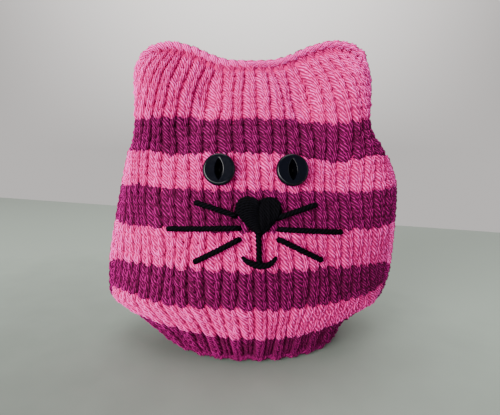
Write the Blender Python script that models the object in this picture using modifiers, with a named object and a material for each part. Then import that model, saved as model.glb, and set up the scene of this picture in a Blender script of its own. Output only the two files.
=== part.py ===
"""Knitted tea cosy in the shape of a striped cat.

Two straight knitted panels, front and back, are seamed to each other along
the top and down both sides, with a slit left in each side for a teapot's
spout and handle.  The front carries two sewn-on buttons, a heart-shaped nose,
six whiskers and a mouth worked in black yarn.

Lengths are metres.  +Z is up, the front faces -Y, and the hem rests on z = 0.
A place on a panel is given in knitting terms: a column counted from the
middle, positive towards +X, and a row counted up from the hem.
"""
import math

import bmesh
import bpy
import numpy as np
from mathutils import Matrix, Vector

# Knitting
HALF_COLUMNS = 12.5
ROWS = 37
RIB_ROWS = 5
STRIPE_ROWS = 4
TOP_STRIPE_START = 29
COLUMN_WIDTH = 0.0065
ROW_HEIGHT = 0.0045

# Cloth
CLOTH_THICKNESS = 0.0040
GROOVE_DEPTH = 0.0013
RIB_GROOVE_DEPTH = 0.0021
SEAM_ROLL = 0.0009
SEAM_GAP_HALF = 0.00015
GROOVE_HALF_COLUMNS = 0.25
STRIPE_STEPS = 3
TOP_STRIPE_STEPS = 7
EDGE_INSET = 0.999
SHARP_EDGE = math.radians(60.0)
PIECE_GAP = 0.00035

# The object's box is centred on the origin by these shifts
SHIFT_X = 0.0011
SHIFT_Y = 0.0014

# Shape of a panel, one line for each row of the knitting that sets it:
# row, how far its middle stands forward of the seam, height of its middle,
# half width to the left and right, half gap at the edges, height of the left
# and right edges, how flat the front is, how blunt the edges turn, how much
# wider the outer columns are spread, and where the middle column stands
SECTIONS = (
    # row   forward  height   left    right    gap     left z  right z  flat blunt spread middle
    (0.0,  0.0315, 0.0000, 0.0455, 0.0480, 0.0000, 0.0000, 0.0000, 2.0, 2.0, 0.02, 0.0045),
    (2.5,  0.0358, 0.0095, 0.0525, 0.0505, 0.0000, 0.0058, 0.0053, 2.0, 2.1, 0.04, 0.0050),
    (5.0,  0.0393, 0.0190, 0.0595, 0.0535, 0.0000, 0.0130, 0.0115, 2.0, 2.2, 0.06, 0.0054),
    (7.0,  0.0415, 0.0275, 0.0695, 0.0625, 0.0005, 0.0190, 0.0175, 2.0, 2.0, 0.07, 0.0054),
    (9.0,  0.0435, 0.0360, 0.0785, 0.0725, 0.0020, 0.0263, 0.0240, 2.0, 1.7, 0.07, 0.0052),
    (13.0, 0.0462, 0.0533, 0.0761, 0.0762, 0.0080, 0.0458, 0.0441, 2.0, 1.2, 0.05, 0.0046),
    (17.0, 0.0424, 0.0706, 0.0700, 0.0754, 0.0120, 0.0697, 0.0687, 2.1, 1.5, 0.05, 0.0036),
    (21.0, 0.0364, 0.0885, 0.0663, 0.0757, 0.0100, 0.0878, 0.0867, 2.2, 2.0, 0.07, 0.0024),
    (25.0, 0.0292, 0.1046, 0.0637, 0.0725, 0.0040, 0.1054, 0.1028, 3.0, 2.4, 0.02, 0.0018),
    (29.0, 0.0220, 0.1205, 0.0595, 0.0622, 0.0000, 0.1230, 0.1218, 4.2, 2.9, -0.10, 0.0011),
    (33.0, 0.0130, 0.1358, 0.0597, 0.0625, 0.0000, 0.1429, 0.1404, 4.0, 2.8, -0.10, 0.0008),
    (35.0, 0.0085, 0.1432, 0.0585, 0.0607, 0.0000, 0.1500, 0.1490, 3.5, 2.4, -0.08, 0.0006),
    (37.0, 0.0040, 0.1505, 0.0560, 0.0588, 0.0000, 0.1530, 0.1540, 3.0, 2.0, -0.06, 0.0005),
)

# How late along the section its height runs off to that of the edge
EDGE_DROOP = 3.0

# Rise of the top edge into an ear, by distance from the middle (0 to 1)
EAR_START_ROW = 27.0
EAR_GROWTH = 1.5
EAR_RISE = (
    # across  rise
    (0.00, 0.0000),
    (0.17, 0.0003),
    (0.33, 0.0026),
    (0.50, 0.0065),
    (0.68, 0.0084),
    (0.85, 0.0062),
    (1.00, 0.0000),
)

# Soft troughs (negative) and swells of the cloth between two places
FOLDS = (
    # column, row, to column, to row, height, half width
    (-4.00, 35.8, -4.25, 31.7, -0.0045, 0.008),
    (-4.25, 31.7, -4.90, 28.9, -0.0040, 0.009),
    (-4.90, 28.9, -6.80, 25.3, -0.0032, 0.009),
    (-6.80, 25.3, -8.80, 22.4, -0.0024, 0.009),
    (4.20, 35.8, 4.25, 31.7, -0.0046, 0.008),
    (4.25, 31.7, 4.75, 28.3, -0.0044, 0.009),
    (4.75, 28.3, 6.00, 24.8, -0.0040, 0.010),
    (6.00, 24.8, 7.70, 21.2, -0.0030, 0.010),
    (-8.90, 34.0, -8.70, 31.0, 0.0030, 0.016),
    (9.10, 34.2, 8.70, 31.0, 0.0030, 0.016),
)

# The folds fade out over the rows under the top seam
FOLD_FADE_ROWS = 5.0

# Yarn colours, linear RGB
PINK = (0.85, 0.20, 0.36, 1.0)
MAGENTA = (0.26, 0.010, 0.095, 1.0)
BLACK = (0.006, 0.006, 0.008, 1.0)

# Buttons
BUTTON_RADIUS = 0.0075
BUTTON_THICKNESS = 0.0036
BUTTON_SEGMENTS = 40
BUTTON_LEAN = math.radians(9.0)
BUTTON_FOOT = 0.72
MERGE_DISTANCE = 0.00001
BUTTON_PLACES = (
    # name, column, row
    ("button_left", -2.62, 22.92),
    ("button_right", 2.70, 22.88),
)
BUTTON_PROFILE = (
    # radius, height as fractions of the button's radius and thickness
    (0.00, 0.94), (0.55, 0.99), (0.80, 1.00), (0.92, 0.92), (0.985, 0.72),
    (1.00, 0.48), (0.96, 0.24), (0.84, 0.05), (BUTTON_FOOT, 0.00), (0.00, 0.00),
)
EYE_HALF_WIDTH = 0.0026
EYE_HALF_LENGTH = 0.0064
EYE_DEPTH = 0.0017
HOLE_RADIUS = 0.00085
HOLE_HALF_SPACING = 0.0019
THREAD_RADIUS = 0.00045

# Nose, measured on the cloth around its middle
NOSE_COLUMN = 0.10
NOSE_ROW = 18.40
NOSE_HALF_WIDTH = 0.0102
NOSE_LOBE_TOP = 0.0082
NOSE_NOTCH = 0.0056
NOSE_SHOULDER = 0.0024
NOSE_TIP = -0.0079
NOSE_THICKNESS = 0.0030
NOSE_EDGE = 0.0007
NOSE_DOME = 5.0
NOSE_VALLEY = 0.86
NOSE_LOBE_MIDDLE = 0.55
NOSE_LOBE_FULLNESS = 0.8
NOSE_TAPER = 1.25
NOSE_STRANDS = 13
NOSE_STEPS = 7
NOSE_GATHER = 0.62

# Yarn stitches that lie on the cloth
STITCH_RADIUS = 0.0012
STITCH_POINTS = 9
WHISKERS = (
    # name, column and row of the outer end, column and row of the inner end
    ("whisker_left_top", -4.55, 19.37, -1.55, 18.32),
    ("whisker_left_middle", -6.50, 17.02, -1.25, 17.33),
    ("whisker_left_bottom", -4.18, 13.67, -1.20, 16.36),
    ("whisker_right_top", 4.35, 19.37, 1.75, 18.34),
    ("whisker_right_middle", 6.15, 16.83, 1.42, 17.27),
    ("whisker_right_bottom", 4.40, 14.02, 1.22, 16.25),
)
MOUTH_LINE = (0.07, 16.12, -0.01, 14.16)
SMILE_POINTS = (
    # column, row, thickness factor
    (-1.14, 14.53, 0.55),
    (-0.98, 14.15, 0.80),
    (-0.74, 13.86, 1.00),
    (-0.38, 13.67, 1.10),
    (0.00, 13.60, 1.15),
    (0.36, 13.67, 1.10),
    (0.68, 13.86, 1.00),
    (0.94, 14.16, 0.80),
    (1.14, 14.51, 0.55),
)


def monotone_slopes(knots, values):
    """Slopes of a curve through the points that never overshoots them."""
    steps = np.diff(knots)
    rises = np.diff(values) / steps
    slopes = np.zeros_like(values)
    slopes[0] = rises[0]
    slopes[-1] = rises[-1]
    for i in range(1, len(knots) - 1):
        if rises[i - 1] * rises[i] > 0.0:
            before = 2.0 * steps[i] + steps[i - 1]
            after = steps[i] + 2.0 * steps[i - 1]
            slopes[i] = (before + after) / (before / rises[i - 1] + after / rises[i])
    return slopes


def smooth_value(knots, values, at):
    """Value at one place of the smooth curve through a table's column."""
    knots = np.asarray(knots, dtype=float)
    values = np.asarray(values, dtype=float)
    slopes = monotone_slopes(knots, values)
    k = int(np.clip(np.searchsorted(knots, at) - 1, 0, len(knots) - 2))
    step = knots[k + 1] - knots[k]
    t = (at - knots[k]) / step
    start = (1.0 + 2.0 * t) * (1.0 - t) ** 2 * values[k]
    leave = t * (1.0 - t) ** 2 * step * slopes[k]
    end = t * t * (3.0 - 2.0 * t) * values[k + 1]
    arrive = t * t * (t - 1.0) * step * slopes[k + 1]
    return start + leave + end + arrive


SECTION_ROWS = [line[0] for line in SECTIONS]
EAR_ACROSS = [line[0] for line in EAR_RISE]
EAR_HEIGHTS = [line[1] for line in EAR_RISE]
ARC_ANGLES = np.linspace(0.0, math.pi / 2.0, 181)


def section_values(row):
    """Every measure of the section at a row."""
    return [smooth_value(SECTION_ROWS, [line[i] for line in SECTIONS], row)
            for i in range(1, len(SECTIONS[0]))]


def section_curve(row):
    """The section at a row from its left edge to its right edge, as x, y, z and length."""
    forward, height, left, right, gap, left_z, right_z, flat, blunt = section_values(row)[:9]
    sines = np.sin(ARC_ANGLES)
    bow = np.maximum(0.0, 1.0 - sines ** flat) ** (1.0 / blunt)
    ys = -gap - (forward - gap) * bow
    droop = sines ** EDGE_DROOP
    left_zs = height + (left_z - height) * droop
    right_zs = height + (right_z - height) * droop
    xs = np.concatenate([-left * sines[::-1], right * sines[1:]])
    zs = np.concatenate([left_zs[::-1], right_zs[1:]])
    ys = np.concatenate([ys[::-1], ys[1:]])
    lengths = np.concatenate([[0.0], np.cumsum(np.hypot(np.diff(xs), np.diff(ys)))])
    return xs, ys, zs, lengths


def section_place(column, row):
    """Point of the smooth front shape, before folds and ribs."""
    xs, ys, zs, lengths = section_curve(row)
    spread, middle = section_values(row)[9:]
    start = float(np.interp(middle, xs, lengths))
    reach = lengths[-1] - start if column >= 0.0 else -start
    across = abs(column) / HALF_COLUMNS
    along = start + reach * across * (1.0 + spread * (across * across - 1.0))
    ear = max(0.0, (row - EAR_START_ROW) / (ROWS - EAR_START_ROW)) ** EAR_GROWTH
    rise = ear * smooth_value(EAR_ACROSS, EAR_HEIGHTS, across)
    x = float(np.interp(along, lengths, xs))
    y = float(np.interp(along, lengths, ys))
    z = float(np.interp(along, lengths, zs))
    return Vector((x, y, z + rise))


def section_normal(column, row):
    """Direction out of the smooth front shape."""
    step = 0.05
    low_column = max(-HALF_COLUMNS, column - step)
    high_column = min(HALF_COLUMNS, column + step)
    low_row = max(0.0, row - step)
    high_row = min(ROWS, row + step)
    along = section_place(high_column, row) - section_place(low_column, row)
    up = section_place(column, high_row) - section_place(column, low_row)
    return along.cross(up).normalized()


def distance_to_fold(place, start, end):
    """Distance on the flat cloth from a place to a fold's line."""
    line = end - start
    t = (place - start).dot(line) / line.length_squared
    nearest = start + line * min(1.0, max(0.0, t))
    return (place - nearest).length


def fold_height(column, row):
    """How far the folds lift the cloth at a place."""
    place = Vector((column * COLUMN_WIDTH, row * ROW_HEIGHT))
    low = 0.0
    high = 0.0
    for start_column, start_row, end_column, end_row, height, half_width in FOLDS:
        start = Vector((start_column * COLUMN_WIDTH, start_row * ROW_HEIGHT))
        end = Vector((end_column * COLUMN_WIDTH, end_row * ROW_HEIGHT))
        reach = distance_to_fold(place, start, end) / half_width
        lift = height * math.exp(-reach * reach)
        low = min(low, lift)
        high = max(high, lift)
    fade = min(1.0, (ROWS - row) / FOLD_FADE_ROWS)
    return fade * (low + high)


def groove_depth(column, row):
    """Depth of the groove between knit columns, or of a purl rib at the hem."""
    if abs(column) >= HALF_COLUMNS:
        return 0.0
    between_columns = abs(column - math.floor(column) - 0.5) < GROOVE_HALF_COLUMNS
    if row > RIB_ROWS:
        return GROOVE_DEPTH if between_columns else 0.0
    if between_columns:
        return 0.5 * (GROOVE_DEPTH + RIB_GROOVE_DEPTH)
    purl_column = int(round(column)) % 2 == 1
    return RIB_GROOVE_DEPTH if purl_column else 0.0


def seam_lift(row):
    """Roll of the cast-off edge along the top seam."""
    rows_below_top = ROWS - row
    return SEAM_ROLL * math.exp(-rows_below_top * rows_below_top)


def cloth_point(column, row):
    """Point on the cloth's outer face, over the tops of the knit columns."""
    return section_place(column, row) + section_normal(column, row) * fold_height(column, row)


def panel_rows():
    """Rows that the panel's mesh follows, with one at each colour change."""
    rows = [float(r) for r in range(RIB_ROWS + 1)]
    start = RIB_ROWS
    while start < TOP_STRIPE_START:
        rows += [start + STRIPE_ROWS * (k + 1) / STRIPE_STEPS for k in range(STRIPE_STEPS)]
        start += STRIPE_ROWS
    left = ROWS - TOP_STRIPE_START
    rows += [TOP_STRIPE_START + left * (k + 1) / TOP_STRIPE_STEPS for k in range(TOP_STRIPE_STEPS)]
    return rows


def panel_grids(side):
    """Outer and inner faces of a panel: side is -1 for the front, 1 for the back."""
    columns = np.arange(-HALF_COLUMNS, HALF_COLUMNS + 0.25, 0.5)
    outer = []
    inner = []
    for row in panel_rows():
        outer_line = []
        inner_line = []
        for column in columns:
            smooth = cloth_point(column, row)
            out = section_normal(column, row)
            raised = smooth + out * (seam_lift(row) - groove_depth(column, row))
            behind = smooth - out * CLOTH_THICKNESS
            raised.y = min(raised.y, -SEAM_GAP_HALF)
            behind.y = min(behind.y, -SEAM_GAP_HALF)
            if row == 0.0:
                raised.z = 0.0
                behind.z = 0.0
            if row == ROWS:
                behind = Vector((raised.x * EDGE_INSET, -SEAM_GAP_HALF, raised.z - 0.25 * SEAM_ROLL))
            behind.z = max(behind.z, 0.0)
            outer_line.append(Vector((raised.x, -side * raised.y, raised.z)))
            inner_line.append(Vector((behind.x, -side * behind.y, behind.z)))
        outer.append(outer_line)
        inner.append(inner_line)
    return outer, inner


def stripe_material(row):
    """Material index of a knitted row: 0 for pink, 1 for magenta."""
    if row < RIB_ROWS:
        return 1
    if row > TOP_STRIPE_START:
        return 0
    return int((row - RIB_ROWS) // STRIPE_ROWS) % 2


def mesh_object(name, mesh, materials, collection):
    """Adds a mesh to the model with its materials."""
    shape = bpy.data.objects.new(name, mesh)
    for material in materials:
        mesh.materials.append(material)
    collection.objects.link(shape)
    return shape


def build_panel(name, side, materials, collection):
    """One knitted panel, a closed loft between its outer and inner faces."""
    outer, inner = panel_grids(side)
    mesh_rows = panel_rows()
    shell = bmesh.new()
    outer_verts = [[shell.verts.new(p) for p in line] for line in outer]
    inner_verts = [[shell.verts.new(p) for p in line] for line in inner]
    last_row = len(outer) - 1
    last_column = len(outer[0]) - 1
    for i in range(last_row):
        index = stripe_material(0.5 * (mesh_rows[i] + mesh_rows[i + 1]))
        for j in range(last_column):
            for grid in (outer_verts, inner_verts):
                face = shell.faces.new((grid[i][j], grid[i][j + 1], grid[i + 1][j + 1], grid[i + 1][j]))
                face.material_index = index
        for j in (0, last_column):
            rim = (outer_verts[i][j], outer_verts[i + 1][j], inner_verts[i + 1][j], inner_verts[i][j])
            shell.faces.new(rim).material_index = index
    for i in (0, last_row):
        index = stripe_material(mesh_rows[i])
        for j in range(last_column):
            rim = (outer_verts[i][j], outer_verts[i][j + 1], inner_verts[i][j + 1], inner_verts[i][j])
            shell.faces.new(rim).material_index = index
    bmesh.ops.recalc_face_normals(shell, faces=shell.faces)
    mesh = bpy.data.meshes.new(name)
    shell.to_mesh(mesh)
    shell.free()
    mesh.shade_smooth()
    mesh.set_sharp_from_angle(angle=SHARP_EDGE)
    return mesh_object(name, mesh, materials, collection)


def cloth_frame(column, row, lift):
    """Placing matrix on the front: local X across, local Y up the cloth, local Z out."""
    out = section_normal(column, row)
    across = Vector((0.0, 0.0, 1.0)).cross(out).normalized()
    up = out.cross(across)
    frame = Matrix((across, up, out)).transposed().to_4x4()
    frame.translation = cloth_point(column, row) + out * lift
    return frame


def button_frame(column, row):
    """Placing matrix of a button, which leans forward with its lower rim on the cloth."""
    lift = PIECE_GAP + BUTTON_FOOT * BUTTON_RADIUS * math.sin(BUTTON_LEAN)
    return cloth_frame(column, row, lift) @ Matrix.Rotation(BUTTON_LEAN, 4, "X")


def build_button(name, column, row, material, collection, cutters):
    """A turned button with an almond hollow and two holes cut into it."""
    mesh = bpy.data.meshes.new(name)
    points = [(BUTTON_RADIUS * r, 0.0, BUTTON_THICKNESS * z) for r, z in BUTTON_PROFILE]
    edges = [(i, i + 1) for i in range(len(points) - 1)]
    mesh.from_pydata(points, edges, [])
    button = mesh_object(name, mesh, [material], collection)
    turn = button.modifiers.new("turn", "SCREW")
    turn.steps = BUTTON_SEGMENTS
    turn.render_steps = BUTTON_SEGMENTS
    turn.use_merge_vertices = True
    turn.merge_threshold = MERGE_DISTANCE
    turn.use_smooth_shade = True
    button.matrix_world = button_frame(column, row)
    for cutter in (almond_cutter(name), hole_cutter(name, 1), hole_cutter(name, -1)):
        cutters.objects.link(cutter)
        cutter.parent = button
        cutter.hide_render = True
        cutter.display_type = "WIRE"
        cut = button.modifiers.new("cut", "BOOLEAN")
        cut.operation = "DIFFERENCE"
        cut.object = cutter
    return button


def almond_cutter(name):
    """Cutter for the button's hollow, pointed at its two ends."""
    shape = bmesh.new()
    bmesh.ops.create_uvsphere(shape, u_segments=24, v_segments=12, radius=1.0)
    for vert in shape.verts:
        x, y, z = vert.co
        pinch = math.sqrt(max(0.0, 1.0 - y * y))
        vert.co = Vector((EYE_HALF_WIDTH * x * pinch, EYE_HALF_LENGTH * y, EYE_DEPTH * z))
    bmesh.ops.remove_doubles(shape, verts=shape.verts, dist=MERGE_DISTANCE)
    mesh = bpy.data.meshes.new(name + "_hollow")
    shape.to_mesh(mesh)
    shape.free()
    cutter = bpy.data.objects.new(name + "_hollow", mesh)
    cutter.location = (0.0, 0.0, BUTTON_THICKNESS)
    return cutter


def hole_cutter(name, direction):
    """Cutter for one of the button's two holes."""
    shape = bmesh.new()
    bmesh.ops.create_cone(shape, cap_ends=True, segments=16, radius1=HOLE_RADIUS,
                          radius2=HOLE_RADIUS, depth=4.0 * BUTTON_THICKNESS)
    mesh = bpy.data.meshes.new(name + "_hole")
    shape.to_mesh(mesh)
    shape.free()
    cutter = bpy.data.objects.new(name + "_hole", mesh)
    cutter.location = (0.0, direction * HOLE_HALF_SPACING, 0.5 * BUTTON_THICKNESS)
    return cutter


def build_tube(name, points, radius, factors, material, collection):
    """A yarn or thread: a smooth line with round section and closed ends."""
    curve = bpy.data.curves.new(name, "CURVE")
    curve.dimensions = "3D"
    curve.bevel_depth = radius
    curve.bevel_resolution = 2
    curve.use_fill_caps = True
    spline = curve.splines.new("POLY")
    spline.points.add(len(points) - 1)
    for point, place, factor in zip(spline.points, points, factors):
        point.co = (place.x, place.y, place.z, 1.0)
        point.radius = factor
    tube = bpy.data.objects.new(name, curve)
    curve.materials.append(material)
    collection.objects.link(tube)
    return tube


def build_thread(name, column, row, material, collection):
    """The thread seen in a button's hollow, from one hole to the other."""
    reach = HOLE_HALF_SPACING - HOLE_RADIUS - THREAD_RADIUS
    floor = BUTTON_THICKNESS - EYE_DEPTH + PIECE_GAP + THREAD_RADIUS
    frame = button_frame(column, row)
    points = [frame @ Vector((0.0, reach * k / 2.0, floor)) for k in (-2, -1, 0, 1, 2)]
    return build_tube(name, points, THREAD_RADIUS, [1.0] * len(points), material, collection)


def build_stitch(name, ends, material, collection):
    """A straight yarn stitch lying on the front."""
    start_column, start_row, end_column, end_row = ends
    points = []
    for k in range(STITCH_POINTS):
        t = k / (STITCH_POINTS - 1)
        column = start_column + (end_column - start_column) * t
        row = start_row + (end_row - start_row) * t
        lift = STITCH_RADIUS + PIECE_GAP
        points.append(cloth_point(column, row) + section_normal(column, row) * lift)
    factors = [1.0] * STITCH_POINTS
    return build_tube(name, points, STITCH_RADIUS, factors, material, collection)


def build_smile(material, collection):
    """The curved mouth, thin at its corners."""
    points = []
    for column, row, factor in SMILE_POINTS:
        lift = STITCH_RADIUS * factor + PIECE_GAP
        points.append(cloth_point(column, row) + section_normal(column, row) * lift)
    factors = [line[2] for line in SMILE_POINTS]
    return build_tube("mouth_smile", points, STITCH_RADIUS, factors, material, collection)


def heart_top(across):
    """Height of the heart's upper outline, across from -1 to 1."""
    reach = abs(across)
    if reach < NOSE_LOBE_MIDDLE:
        t = reach / NOSE_LOBE_MIDDLE
        rise = math.sin(0.5 * math.pi * t) ** NOSE_LOBE_FULLNESS
        return NOSE_NOTCH + (NOSE_LOBE_TOP - NOSE_NOTCH) * rise
    t = (reach - NOSE_LOBE_MIDDLE) / (1.0 - NOSE_LOBE_MIDDLE)
    return NOSE_SHOULDER + (NOSE_LOBE_TOP - NOSE_SHOULDER) * math.sqrt(max(0.0, 1.0 - t * t))


def heart_bottom(across):
    """Height of the heart's lower outline, across from -1 to 1."""
    reach = abs(across)
    return NOSE_TIP + (NOSE_SHOULDER - NOSE_TIP) * reach ** NOSE_TAPER


def heart_place(across, along):
    """Place on the heart: across from -1 to 1, along a strand from 0 to 1."""
    gathered = across * NOSE_GATHER
    low = Vector((gathered * NOSE_HALF_WIDTH, heart_bottom(gathered)))
    high = Vector((across * NOSE_HALF_WIDTH, heart_top(across)))
    return low.lerp(high, along)


def build_nose(material, collection):
    """The padded heart of side-by-side strands, lofted over the cloth."""
    shape = bmesh.new()
    upper = []
    lower = []
    count = 2 * NOSE_STRANDS
    for j in range(NOSE_STEPS + 1):
        upper_line = []
        lower_line = []
        for i in range(count + 1):
            across = 2.0 * i / count - 1.0
            along = j / NOSE_STEPS
            place = heart_place(across, along)
            column = NOSE_COLUMN + place.x / COLUMN_WIDTH
            row = NOSE_ROW + place.y / ROW_HEIGHT
            base = cloth_point(column, row)
            out = section_normal(column, row)
            edge = min(1.0 - abs(across), 0.5 - abs(along - 0.5))
            dome = math.sqrt(min(1.0, max(0.0, NOSE_DOME * edge)))
            strand = 1.0 if i % 2 else NOSE_VALLEY
            height = NOSE_EDGE + (NOSE_THICKNESS - NOSE_EDGE) * dome * strand
            upper_line.append(shape.verts.new(base + out * (PIECE_GAP + height)))
            lower_line.append(shape.verts.new(base + out * PIECE_GAP))
        upper.append(upper_line)
        lower.append(lower_line)
    for j in range(NOSE_STEPS):
        for i in range(count):
            for grid in (upper, lower):
                shape.faces.new((grid[j][i], grid[j][i + 1], grid[j + 1][i + 1], grid[j + 1][i]))
        for i in (0, count):
            shape.faces.new((upper[j][i], upper[j + 1][i], lower[j + 1][i], lower[j][i]))
    for j in (0, NOSE_STEPS):
        for i in range(count):
            shape.faces.new((upper[j][i], upper[j][i + 1], lower[j][i + 1], lower[j][i]))
    bmesh.ops.recalc_face_normals(shape, faces=shape.faces)
    mesh = bpy.data.meshes.new("nose")
    shape.to_mesh(mesh)
    shape.free()
    mesh.shade_smooth()
    return mesh_object("nose", mesh, [material], collection)


def make_material(name, colour, roughness):
    """A plain finish with one colour."""
    material = bpy.data.materials.new(name)
    material.use_nodes = True
    surface = material.node_tree.nodes["Principled BSDF"]
    surface.inputs["Base Color"].default_value = colour
    surface.inputs["Roughness"].default_value = roughness
    surface.inputs["Metallic"].default_value = 0.0
    material.diffuse_color = colour
    return material


def clear_scene():
    """Removes whatever objects the file starts with."""
    for item in list(bpy.data.objects):
        bpy.data.objects.remove(item)


def build_model():
    """Builds every piece of the cosy."""
    cosy = bpy.data.collections.new("cat_tea_cosy")
    cutters = bpy.data.collections.new("cutters")
    for collection in (cosy, cutters):
        bpy.context.scene.collection.children.link(collection)
    pink = make_material("pink_yarn", PINK, 0.9)
    magenta = make_material("magenta_yarn", MAGENTA, 0.9)
    black_yarn = make_material("black_yarn", BLACK, 0.85)
    button_plastic = make_material("button_plastic", BLACK, 0.2)
    build_panel("front_panel", -1, (pink, magenta), cosy)
    build_panel("back_panel", 1, (pink, magenta), cosy)
    for name, column, row in BUTTON_PLACES:
        build_button(name, column, row, button_plastic, cosy, cutters)
        build_thread(name + "_thread", column, row, black_yarn, cosy)
    build_nose(black_yarn, cosy)
    for name, *ends in WHISKERS:
        build_stitch(name, ends, black_yarn, cosy)
    build_stitch("mouth_line", MOUTH_LINE, black_yarn, cosy)
    build_smile(black_yarn, cosy)
    for piece in cosy.objects:
        piece.location += Vector((SHIFT_X, SHIFT_Y, 0.0))


clear_scene()
build_model()
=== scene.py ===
"""Looks of the knitted cat tea cosy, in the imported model's frame.

The two panels are knitted here stitch by stitch: every row is a yarn that
loops through the row below it, laid on the same folded shape as the solids.
"""

import math

import bpy
import numpy as np
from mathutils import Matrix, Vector


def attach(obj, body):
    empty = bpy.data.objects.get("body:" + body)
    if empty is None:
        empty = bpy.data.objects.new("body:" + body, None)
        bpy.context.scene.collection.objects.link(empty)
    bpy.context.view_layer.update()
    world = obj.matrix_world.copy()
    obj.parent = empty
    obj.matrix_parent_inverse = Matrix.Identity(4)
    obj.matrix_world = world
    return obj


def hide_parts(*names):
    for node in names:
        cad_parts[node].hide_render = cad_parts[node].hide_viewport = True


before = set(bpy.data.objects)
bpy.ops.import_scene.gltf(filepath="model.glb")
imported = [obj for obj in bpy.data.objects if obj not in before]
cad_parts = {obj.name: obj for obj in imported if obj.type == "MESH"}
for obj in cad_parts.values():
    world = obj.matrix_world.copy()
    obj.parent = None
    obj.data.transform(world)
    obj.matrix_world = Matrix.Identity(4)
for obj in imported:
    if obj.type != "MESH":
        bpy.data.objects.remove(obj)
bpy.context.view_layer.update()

# -------------------- sizes

HALF_COLUMNS = 12.5
COLUMNS = 25
ROWS = 37
RIB_ROWS = 5
COLUMN_WIDTH = 0.0065
ROW_HEIGHT = 0.0045
SHIFT = np.array((0.0011, 0.0014, 0.0))

# Shape of a panel, as in the solids: row, how far its middle stands forward of the
# seam and how high, half widths, half the gap at the edges and their heights, how
# flat the front is, how blunt the edges turn, how far the outer columns spread and
# where the middle column stands
SECTIONS = np.array((
    # row   forward  height   left    right    gap     left z  right z  flat blunt spread middle
    (0.0,  0.0315, 0.0000, 0.0455, 0.0480, 0.0000, 0.0000, 0.0000, 2.0, 2.0, 0.02, 0.0045),
    (2.5,  0.0358, 0.0095, 0.0525, 0.0505, 0.0000, 0.0058, 0.0053, 2.0, 2.1, 0.04, 0.0050),
    (5.0,  0.0393, 0.0190, 0.0595, 0.0535, 0.0000, 0.0130, 0.0115, 2.0, 2.2, 0.06, 0.0054),
    (7.0,  0.0415, 0.0275, 0.0695, 0.0625, 0.0005, 0.0190, 0.0175, 2.0, 2.0, 0.07, 0.0054),
    (9.0,  0.0435, 0.0360, 0.0785, 0.0725, 0.0020, 0.0263, 0.0240, 2.0, 1.7, 0.07, 0.0052),
    (13.0, 0.0462, 0.0533, 0.0761, 0.0762, 0.0080, 0.0458, 0.0441, 2.0, 1.2, 0.05, 0.0046),
    (17.0, 0.0424, 0.0706, 0.0700, 0.0754, 0.0120, 0.0697, 0.0687, 2.1, 1.5, 0.05, 0.0036),
    (21.0, 0.0364, 0.0885, 0.0663, 0.0757, 0.0100, 0.0878, 0.0867, 2.2, 2.0, 0.07, 0.0024),
    (25.0, 0.0292, 0.1046, 0.0637, 0.0725, 0.0040, 0.1054, 0.1028, 3.0, 2.4, 0.02, 0.0018),
    (29.0, 0.0220, 0.1205, 0.0595, 0.0622, 0.0000, 0.1230, 0.1218, 4.2, 2.9, -0.10, 0.0011),
    (33.0, 0.0130, 0.1358, 0.0597, 0.0625, 0.0000, 0.1429, 0.1404, 4.0, 2.8, -0.10, 0.0008),
    (35.0, 0.0085, 0.1432, 0.0585, 0.0607, 0.0000, 0.1500, 0.1490, 3.5, 2.4, -0.08, 0.0006),
    (37.0, 0.0040, 0.1505, 0.0560, 0.0588, 0.0000, 0.1530, 0.1540, 3.0, 2.0, -0.06, 0.0005),
))
EDGE_DROOP = 3.0
QUARTER_POINTS = 181
SLIT_START = 9
SLIT_END = 25
EAR_START_ROW = 27.0
EAR_GROWTH = 1.5
EAR_RISE = np.array((
    # across  rise
    (0.00, 0.0000), (0.17, 0.0003), (0.33, 0.0026), (0.50, 0.0065),
    (0.68, 0.0084), (0.85, 0.0062), (1.00, 0.0000),
))
FOLDS = (
    # column, row, to column, to row, height, half width
    (-3.45, 35.8, -3.75, 31.7, -0.0048, 0.007),
    (-3.75, 31.7, -4.60, 28.9, -0.0036, 0.008),
    (-4.60, 28.9, -6.60, 25.3, -0.0030, 0.008),
    (-6.60, 25.3, -8.60, 22.4, -0.0024, 0.009),
    (4.00, 35.8, 4.10, 31.7, -0.0064, 0.0090),
    (4.10, 31.7, 4.75, 28.3, -0.0056, 0.0100),
    (4.75, 28.3, 6.00, 24.8, -0.0044, 0.0115),
    (6.00, 24.8, 7.70, 21.2, -0.0032, 0.0115),
    (-8.90, 34.0, -8.70, 31.0, 0.0030, 0.016),
    (9.10, 34.2, 8.70, 31.0, 0.0030, 0.016),
)
FOLD_FADE_ROWS = 5.0

# Colour stripes from the hem up: name, first row, row after the last, yarn
STRIPES = (
    ("hem", 0, 5, "magenta"),
    ("stripe_1", 5, 9, "pink"),
    ("stripe_2", 9, 13, "magenta"),
    ("stripe_3", 13, 17, "pink"),
    ("stripe_4", 17, 21, "magenta"),
    ("stripe_5", 21, 25, "pink"),
    ("stripe_6", 25, 29, "magenta"),
    ("crown", 29, 37, "pink"),
)

# Yarn of the knitting, in metres: half its width and depth, its plies and their twist
YARN_ACROSS = 0.00178
YARN_DEPTH = 0.00150
YARN_PLIES = 8
YARN_PLY_RELIEF = 0.15
YARN_PITCH = 0.0140
YARN_SIDES_PER_PLY = 2

# A stitch: how its legs lean, close, rise and arch, and how many points it has
LOOP_LEAN = 0.190
LOOP_CLOSE = 0.025
LOOP_RISE = 0.98
LOOP_DEPTH = 0.00125
LOOP_TILT = -0.00005
LOOP_POINTS = 13
LEG_SAMPLING = 0.12
LEG_UNEVEN = 0.10
LOWEST_LOOP_ROW = 0.42

# Middle of the stitches, from the cloth's surface
YARN_MIDDLE = -YARN_DEPTH - LOOP_DEPTH

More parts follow.
